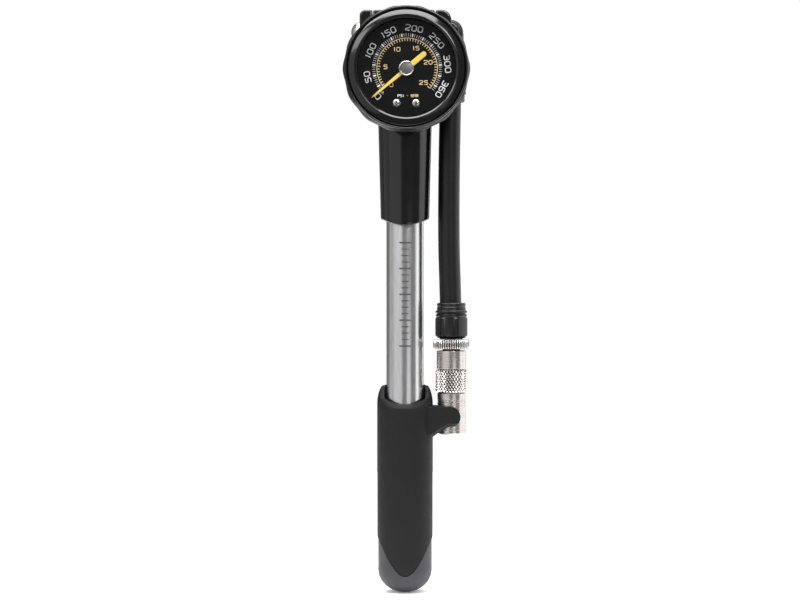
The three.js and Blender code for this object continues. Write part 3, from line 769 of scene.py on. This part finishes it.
def cross_head():
    """The bar across the head: the bleed valve's end, the middle, the swivel's ear, and the gauge's neck."""
    bleed_end = block("bleed_end", -12.55, -17.55, 2.2)
    pocket = turned("pocket_cutter", [(0, 13), (4.5, 13), (4.5, 20), (0, 20)], SMALL)
    moved(pocket, (0, CROSS_Z, BARREL.y - BLEED_CENTRE[1]), FACING["left"])
    cut(bleed_end, pocket)
    smooth(bleed_end)
    middle = block("head_middle", -12.3, 11.5, 0.8)
    ear = block("swivel_ear", 11.85, 17.9, 3.8, back=4.4)
    bolt_boss = turned("swivel_boss", [(0, 4.4), (3.1, 4.4), (3.1, 9.0), (0, 9.0)], SMALL, bevel=0.5)
    neck = turned("gauge_neck", [(0, 4), (8.2, 4), (8.2, 11.8), (0, 11.8)], bevel=0.4)
    moved(bolt_boss, (SWIVEL_CENTRE[0] - BARREL.x, CROSS_Z, 0))
    moved(neck, (DIAL_CENTRE[0] - BARREL.x, DIAL_CENTRE[2], 0))
    for obj in (bleed_end, middle, ear, bolt_boss, neck):
        smooth(obj)
        settle(obj, BARREL_AXIS, "front")
        fit(obj, "pump_head", "gloss_housing", GLOSS_BLACK, "head_housing")


def bleed_button():
    turns = (0.25, 0.5, 0.75, 1.0, 1.25, 1.5)
    domed = [(4.1 * math.sin(turn), 17.6 + 3.35 * math.cos(turn)) for turn in turns]
    profile = [(0, 20.95), *domed, (4.15, 15.6), (3.5, 15.6), (3.5, 17.2), (0, 17.2)]
    obj = turned("bleed_cap", profile, SMALL)
    smooth(obj, 50)
    settle(obj, BLEED_CENTRE, "left")
    fit(obj, "bleed_valve", "nickel", NICKEL, "bleed_button")


def swivel():
    eye = turned("swivel_eye", [(0, -6.1), (4.9, -6.1), (4.9, 4.1), (0, 4.1)], SMALL, bevel=0.9, segments=4)
    settle(eye, SWIVEL_CENTRE, "front")
    neck = turned("swivel_neck", [(0, 203), (5.2, 203), (5.2, CROSS_Z), (0, CROSS_Z)], SMALL)
    settle(neck, (SWIVEL_CENTRE[0], CHUCK.y, 0))
    for obj in (eye, neck):
        fit(obj, "swivel", "satin_plastic", SATIN_BLACK, "swivel_elbow")
    head_profile = [(0, -8.6), (3.3, -8.6), (3.6, -8.3), (3.6, -6.3), (0, -6.3)]
    head = turned("swivel_bolt_head", head_profile, 6, bevel=0.15)
    socket = turned("socket_cutter", [(0, -9), (1.5, -9), (1.5, -7), (0, -7)], 6)
    cut(head, socket)
    smooth(head, 20)
    settle(head, SWIVEL_CENTRE, "front")
    fit(head, "pump_head", "steel", ROD_STEEL)


# ---------------------------------------------------------------- boots and chuck
BOOT_HEIGHT = 14.15


def boot_surface(angle, radius, height, row):
    """Below its ribs the boot is faceted: six flats between well rounded corners."""
    if radius > 6.28:
        radius -= 0.46 * ((1 - math.cos(6 * (angle - 0.38))) / 2) ** 0.7
    return radius, height


def boot(name, mouth, direction, body, node):
    """A strain-relief boot: ribs at its mouth, then a faceted grip. direction is 1 if its mouth is up."""
    inner = HOSE_RADIUS + 0.12
    outline = [
        (inner, 0), (5.2, 0), (5.6, 0.45), (5.6, 1.2), (5.4, 1.4), (5.4, 1.6), (5.6, 1.8), (5.6, 2.9),
        (6.2, 3.3), (6.2, 3.8), (5.7, 4.1), (5.7, 4.4), (6.1, 4.6), (6.1, 5.2), (5.85, 5.4), (5.85, 5.6),
        (6.32, 6.1), (6.32, 12.3), (6.15, 12.9), (5.3, 13.7), (4.6, 13.8), (4.5, BOOT_HEIGHT),
        (inner, BOOT_HEIGHT),
    ]
    profile = [(radius, mouth - direction * down) for radius, down in outline]
    obj = turned(name, profile, around=boot_surface, bevel=0.08, segments=2)
    axis = CHUCK_AXIS if body == "hose_end" else (SWIVEL_CENTRE[0], CHUCK.y, 0)
    settle(obj, axis)
    fit(obj, body, "boot_rubber", BOOT_RUBBER, node)


FLUTES = 46


def lock_ring():
    def fluted(angle, radius, height, row):
        if radius > 6:
            radius -= 0.5 * (0.5 + 0.5 * math.cos(FLUTES * angle)) ** 1.5
        return radius, height

    profile = [(2.7, 94.7), (6.75, 94.7), (7.15, 95.1), (7.15, 97.9), (6.75, 98.3), (2.7, 98.3)]
    obj = turned("chuck_lock_ring", profile, sides=FLUTES * 8, around=fluted)
    smooth(obj, 50)
    settle(obj, CHUCK_AXIS)
    # the fluted ring's nickel carries painted shade in its flutes
    fit(obj, "lock_ring", "nickel", nickel_with_painted_cut_shade("fluted_nickel", 6.65, 7.15), "lock_ring")
    washer_profile = [(2.7, 94.2), (3.5, 94.2), (3.5, 94.6), (2.7, 94.6)]
    washer = turned("lock_ring_washer", washer_profile, SMALL, bevel=0.1)
    settle(washer, CHUCK_AXIS)
    fit(washer, "chuck_body", "seal_rubber", SEAL_RUBBER)


def chuck_middle():
    profile = [
        (2.7, 94.1), (5.4, 94.1), (5.72, 93.8), (5.72, 87), (5.6, 86.85), (3.9, 86.85), (3.9, 80), (2.7, 80),
    ]
    obj = turned("chuck_middle", profile, bevel=0.12)
    settle(obj, CHUCK_AXIS)
    fit(obj, "chuck_body", "nickel", NICKEL, "chuck_body")


KNURLS = 30  # grooves of each hand round the collar
KNURL_DEPTH = 0.50
KNURL_HEIGHT = 1.95  # of one diamond


def collar():
    """The collar's diamond knurl is two sets of crossing V grooves, cut between its plain rims."""
    low, high, rows = 78.15, 86.4, 50

    def knurled(angle, radius, height, row):
        if radius < 5.9 or not low < height < high:
            return radius, height
        around = angle * KNURLS / (2 * PI)
        up = (height - low) / KNURL_HEIGHT
        right = abs((around + up) % 1 - 0.5) * 2
        left = abs((around - up) % 1 - 0.5) * 2
        return radius - KNURL_DEPTH * max(right, left) ** 1.4, height

    wall = [(6.22, low + (high - low) * row / rows) for row in range(rows + 1)]
    profile = [(4.2, 77.8), (5.7, 77.8), (6.0, 78.0), *wall, (6.0, 86.5), (5.74, 86.6), (4.2, 86.6)]
    obj = turned("knurled_collar", profile, sides=KNURLS * 8, around=knurled)
    smooth(obj, 50)
    settle(obj, CHUCK_AXIS)
    # the collar's nickel carries painted shade in its knurl grooves
    fit(obj, "chuck_collar", "nickel", nickel_with_painted_cut_shade("knurled_nickel", 5.72, 6.12), "chuck_collar")


TIP_RADIUS = 5.48


def chuck_tip():
    """The tip screws over the valve: fine rings outside, and a thread in its mouth."""
    root = TIP_RADIUS - 0.24

    def groove(height):
        rim = TIP_RADIUS
        return [(rim, height + 0.22), (root, height + 0.08), (root, height - 0.08), (rim, height - 0.22)]

    outside = [(4.7, 79.4), (4.7, 77.6), (5.2, 77.6), (TIP_RADIUS, 77.3)]
    for height in (74.8, 74.1, 72.9, 63.2):
        outside += groove(height)
    thread = []
    for turn in range(10):
        height = 62.2 + turn * 0.8
        thread += [(4.0, height), (4.35, height + 0.4)]
    mouth = [(TIP_RADIUS, 61.9), (5.2, 61.6), (4.3, 61.6)]
    profile = [*outside, *mouth, *thread, (4.0, 70.4), (3.6, 70.5), (3.6, 79.4)]
    obj = turned("chuck_tip", profile)
    settle(obj, CHUCK_AXIS)
    fit(obj, "chuck_collar", "nickel", NICKEL, "chuck_tube")


# ---------------------------------------------------------------- gauge; heights run towards the reader
NEEDLE_REST = 219.9  # degrees, anticlockwise from +X as the reader sees the dial
LENS_BACK = 20.7
DIAL_FACE = 17.9


def gauge_shell():
    case_profile = [
        (0, 12), (20.6, 12), (21.8, 13.0), (21.8, 20.4), (22.6, 20.6), (23.3, 21.1), (23.68, 21.9),
        (23.6, 22.7), (23.25, 23.25), (22.9, 23.25), (22.62, 22.9), (22.6, 21.9), (20.9, 21.9),
        (20.9, 13.2), (0, 13.2),
    ]
    case = turned("gauge_body", case_profile, 160, bevel=0.12, segments=2)
    bezel_profile = [
        (18.9, 22.75), (18.9, 23.4), (19.1, 23.52), (19.5, 23.74), (19.7, 23.82), (19.9, 23.8),
        (20.3, 23.66), (21.1, 23.34), (21.8, 23.04), (22.15, 22.8), (22.3, 22.4), (22.3, 22.25),
        (20.7, 22.25), (20.5, 22.75),
    ]
    bezel = turned("gauge_bezel_ring", bezel_profile, 160, bevel=0.1, segments=2)
    smooth(bezel, 50)
    runs = (19.4, 19, 18.5, 18, 17.5, 17, 16.5, 16, 15.5, 15, 14.5, 14, 12, 10, 8, 6, 4, 2, 0)
    dome = [(run, 22.72 - 0.0015 * run ** 2 - 0.004 * max(run - 14, 0) ** 2) for run in runs]
    lens_profile = [(0, LENS_BACK), (20.6, LENS_BACK), (20.6, 21.3), *dome]
    lens = turned("gauge_window", lens_profile, 128)
    smooth(lens, 50)
    for obj, slot, material, node in (
        (case, "gauge_shell", BEZEL_BLACK, "gauge_case"),
        (bezel, "gauge_shell", BEZEL_BLACK, "gauge_bezel"),
        (lens, "lens", LENS, "gauge_lens"),
    ):
        settle(obj, DIAL_CENTRE, "front")
        fit(obj, "pump_head", slot, material, node)


SCALLOPS = 14


def gauge_bumper():
    """The rubber ring round the gauge's case, with shallow scallops and a rolled rim."""
    def scalloped(angle, radius, height, row):
        if radius > 22.7:
            radius -= 0.45 * (1 + math.cos(SCALLOPS * angle)) / 2 * min((radius - 22.7) / 1.2, 1)
        return radius, height

    profile = [
        (22.0, 13.4), (22.6, 12.7), (23.4, 12.8), (24.1, 13.6), (24.35, 14.8), (24.35, 18.6), (24.0, 19.6),
        (23.2, 20.2), (22.0, 20.2),
    ]
    obj = turned("gauge_bumper_ring", profile, SCALLOPS * 14, around=scalloped)
    smooth(obj, 60)
    settle(obj, DIAL_CENTRE, "front")
    fit(obj, "pump_head", "bumper_rubber", BUMPER_RUBBER, "gauge_bumper")


PRINT_SIDEWAYS, PRINT_UP, PRINT_SIZE = 0.28, 0.15, 1.015  # the print sits a little off the dial's middle
# Each character is drawn in a cell 1 high, as runs of points. A run that ends at its start is closed.
WIDE = 0.82
GLYPHS = {
    "0": [[(0, 0), (0, 1), (WIDE, 1), (WIDE, 0), (0, 0)]],
    "1": [[(0.3, 0.86), (0.44, 1), (0.44, 0)]],
    "2": [[(0, 0.8), (0, 1), (WIDE, 1), (WIDE, 0.58), (0, 0.2), (0, 0), (WIDE, 0)]],
    "3": [[(0, 1), (WIDE, 1), (WIDE, 0), (0, 0)], [(0.22, 0.52), (WIDE - 0.05, 0.52)]],
    "5": [[(WIDE, 1), (0, 1), (0, 0.56), (WIDE, 0.56), (WIDE, 0), (0, 0)]],
    "6": [[(WIDE, 1), (0, 1), (0, 0), (WIDE, 0), (WIDE, 0.56), (0.05, 0.56)]],
    "P": [[(0, 0), (0, 1), (WIDE, 1), (WIDE, 0.45), (0.05, 0.45)]],
    "S": [[(WIDE, 1), (0, 1), (0, 0.52), (WIDE, 0.52), (WIDE, 0), (0, 0)]],
    "I": [[(0.3, 0), (0.3, 1)]],
    "B": [[(0, 0), (0, 1), (WIDE, 1), (WIDE, 0), (0, 0)], [(0.05, 0.52), (WIDE - 0.05, 0.52)]],
    "A": [[(0, 0), (0, 1), (WIDE, 1), (WIDE, 0)], [(0.05, 0.42), (WIDE - 0.05, 0.42)]],
    "R": [[(0, 0), (0, 1), (WIDE, 1), (WIDE, 0.45), (0.05, 0.45)], [(0.4, 0.45), (WIDE, 0)]],
}
NARROW = {"1": 0.6, "I": 0.6}


def rounded(run, corner):
    """Cuts each corner of a run with three short chords."""
    closed = run[0] == run[-1]
    points = [Vector(point) for point in run]
    if closed:
        points = [*points, points[1]]
    result = [] if closed else [points[0]]
    for before, here, after in zip(points, points[1:], points[2:]):
        back, on = before - here, after - here
        cut = min(corner, back.length / 2, on.length / 2)
        start, end = here + back.normalized() * cut, here + on.normalized() * cut
        result += [start, (start + end + here * 2) / 4, end]
    return [*result, result[0] if closed else points[-1]]


def written(text, centre, height, turn=0.0, width=1.0, gap=0.36):
    """The runs of a text whose middle is at the centre, turned by so many degrees."""
    advance = [NARROW.get(letter, WIDE) + gap for letter in text]
    start = -(sum(advance) - gap) / 2
    cos, sin = math.cos(math.radians(turn)), math.sin(math.radians(turn))
    runs = []
    for letter, step in zip(text, advance):
        for run in GLYPHS[letter]:
            placed = []
            for point in rounded(run, 0.24):
                x, y = (start + point.x) * height * width, (point.y - 0.5) * height
                placed.append((centre[0] + x * cos - y * sin, centre[1] + x * sin + y * cos))
            runs.append(placed)
        start += step
    return runs


def polar(radius, degrees):
    return radius * math.cos(math.radians(degrees)), radius * math.sin(math.radians(degrees))


def printed(name, runs, width, material):
    """Ink on the dial: every run is a thin bead along its points, pressed flat on the face."""
    curve = bpy.data.curves.new(name, "CURVE")
    curve.dimensions = "3D"
    curve.bevel_depth = width / 2
    curve.bevel_resolution = 1
    curve.use_fill_caps = True
    for run in runs:
        spline = curve.splines.new("POLY")
        spline.use_cyclic_u = run[0] == run[-1]
        places = run[:-1] if spline.use_cyclic_u else run
        spline.points.add(len(places) - 1)
        for point, (x, y) in zip(spline.points, places):
            point.co = (x * PRINT_SIZE, y * PRINT_SIZE, 0, 1)
    obj = bpy.data.objects.new(name, curve)
    bpy.context.collection.objects.link(obj)
    select_only(obj)
    bpy.ops.object.convert(target="MESH")
    obj = bpy.context.object
    for vertex in obj.data.vertices:
        vertex.co.z = DIAL_FACE + 0.03 + vertex.co.z * 0.06 / width
    settle(obj, (DIAL_CENTRE[0] + PRINT_SIDEWAYS, DIAL_CENTRE[1], DIAL_CENTRE[2] + PRINT_UP), "front")
    fit(obj, "pump_head", "dial_print", material)


PSI_ZERO, PSI_STEP, PSI_FULL = 230.3, 0.749, 360
BAR_STEP = 10.863
PSI_NUMERALS = {"0": 224, "50": 192.5, "100": 155, "150": 118, "200": 80, "250": 43, "300": 6.3, "360": -31}
BAR_NUMERALS = {"0": 226, "5": 176, "10": 119.5, "15": 67.5, "20": 16, "25": -41}


def dial():
    profile = [(0, 17.2), (20.2, 17.2), (20.2, DIAL_FACE), (0, DIAL_FACE)]
    face = turned("dial_face", profile, bevel=0.1, segments=2)
    settle(face, DIAL_CENTRE, "front")
    fit(face, "pump_head", "dial_print", DIAL_BLACK, "gauge_dial")

    numerals = []
    for text, angle in PSI_NUMERALS.items():
        numerals += written(text, polar(15.25, angle), 2.05, angle - 90, 0.98)
    printed("psi_numerals", numerals, 0.38, WHITE_INK)
    fine, bold = [], []
    for psi in range(15, PSI_FULL + 1, 5):
        angle = PSI_ZERO - PSI_STEP * psi
        (bold if psi % 25 == 0 else fine).append([polar(11.95, angle), polar(13.15, angle)])
    printed("psi_fine_ticks", fine, 0.14, WHITE_INK)
    printed("psi_bold_ticks", bold, 0.56, WHITE_INK)

    numbers = []
    for text, angle in BAR_NUMERALS.items():
        numbers += written(text, polar(8.2 if text != "0" else 8.6, angle), 1.45, 0, 1.05)
    printed("bar_numerals", numbers, 0.3, GOLD_INK)
    ticks = []
    for half_bar in range(2, 51):
        angle = PSI_ZERO - BAR_STEP * half_bar / 2
        ticks.append([polar(10.05 if half_bar % 10 == 0 else 10.3, angle), polar(11.35, angle)])
    printed("bar_ticks", ticks, 0.28, GOLD_INK)
    line = [polar(11.4, PSI_ZERO - BAR_STEP * 25 * step / 90) for step in range(4, 91)]
    printed("bar_line", [line], 0.24, GOLD_INK)
    printed("psi_name", written("PSI", (-2.35, -10.3), 0.9, 0, 0.95, 0.3), 0.2, WHITE_INK)
    bar_name = [*written("BAR", (2.8, -10.3), 0.9, 0, 0.95, 0.3), [(-0.1, -10.3), (0.2, -10.3)]]
    printed("bar_name", bar_name, 0.2, GOLD_INK)


DIAL_SCREWS = ((-3.75, -13.2), (3.75, -13.2))
STOP_PIN = (-9.1, -9.45)


def dial_hardware():
    for place, side in zip(DIAL_SCREWS, ("left", "right")):
        profile = [
            (0, 18.95), (0.5, 18.93), (0.9, 18.86), (1.25, 18.74), (1.5, 18.57), (1.68, 18.35), (1.76, 18.1),
            (1.78, 17.95), (0, 17.95),
        ]
        screw = turned(f"dial_screw_head_{side}", profile, SMALL)
        socket = turned("screw_socket_cutter", [(0, 18.35), (0.6, 18.35), (0.6, 19), (0, 19)], 6)
        cut(screw, socket)
        smooth(screw, 40)
        moved(screw, (*place, 0))
        settle(screw, DIAL_CENTRE, "front")
        fit(screw, "pump_head", "steel", ROD_STEEL, f"dial_screw_{side}")
    pin = turned("stop_pin", [(0, 17.8), (0.55, 17.8), (0.55, 19.3), (0, 19.3)], 24, bevel=0.12)
    moved(pin, (*STOP_PIN, 0))
    settle(pin, DIAL_CENTRE, "front")
    fit(pin, "pump_head", "steel", ROD_STEEL, "needle_stop")


def needle():
    tail = 8.6
    outline = [
        (17.4, 0.05), (15.8, 0.34), (0, 0.80), (-2.4, 0.82), (-3.0, 1.0),
        *arc((-tail, 0), 1.02, 90, 270, 12),
        (-3.0, -1.0), (-2.4, -0.82), (0, -0.80), (15.8, -0.34), (17.4, -0.05),
    ]
    pointer = plate("pointer", outline, 18.35, 18.75, bevel=0.08)
    moved(pointer, (0, 0, 0), (0, 0, math.radians(NEEDLE_REST)))
    settle(pointer, DIAL_CENTRE, "front")
    fit(pointer, "gauge_needle", "needle_paint", NEEDLE_YELLOW, "needle")
    rim_profile = [
        (2.3, 19.2), (2.3, 19.75), (2.42, 19.98), (2.62, 20.08), (2.82, 19.98), (2.94, 19.7), (2.94, 19.2),
    ]
    rim = turned("pointer_hub_rim", rim_profile, SMALL, bevel=0.03, segments=2)
    face = turned("pointer_hub_face", [(0, 19.2), (2.25, 19.2), (2.25, 19.7), (0, 19.7)], SMALL, bevel=0.1)
    for obj, material in ((rim, NICKEL), (face, HUB_STEEL)):
        smooth(obj, 45)
        settle(obj, DIAL_CENTRE, "front")
        fit(obj, "gauge_needle", "nickel", material, "needle_hub")


# ---------------------------------------------------------------- the whole pump
grip()
end_cap()
clip()
pump_rod()
barrel()
barrel_scale()
sleeve()
cross_head()
bleed_button()
swivel()
boot("upper_boot", 191, -1, "swivel", "upper_hose_boot")
boot("lower_boot", 112.7, 1, "hose_end", "lower_hose_boot")
lock_ring()
chuck_middle()
collar()
chuck_tip()
hose()
gauge_shell()
gauge_bumper()
dial()
dial_hardware()
needle()
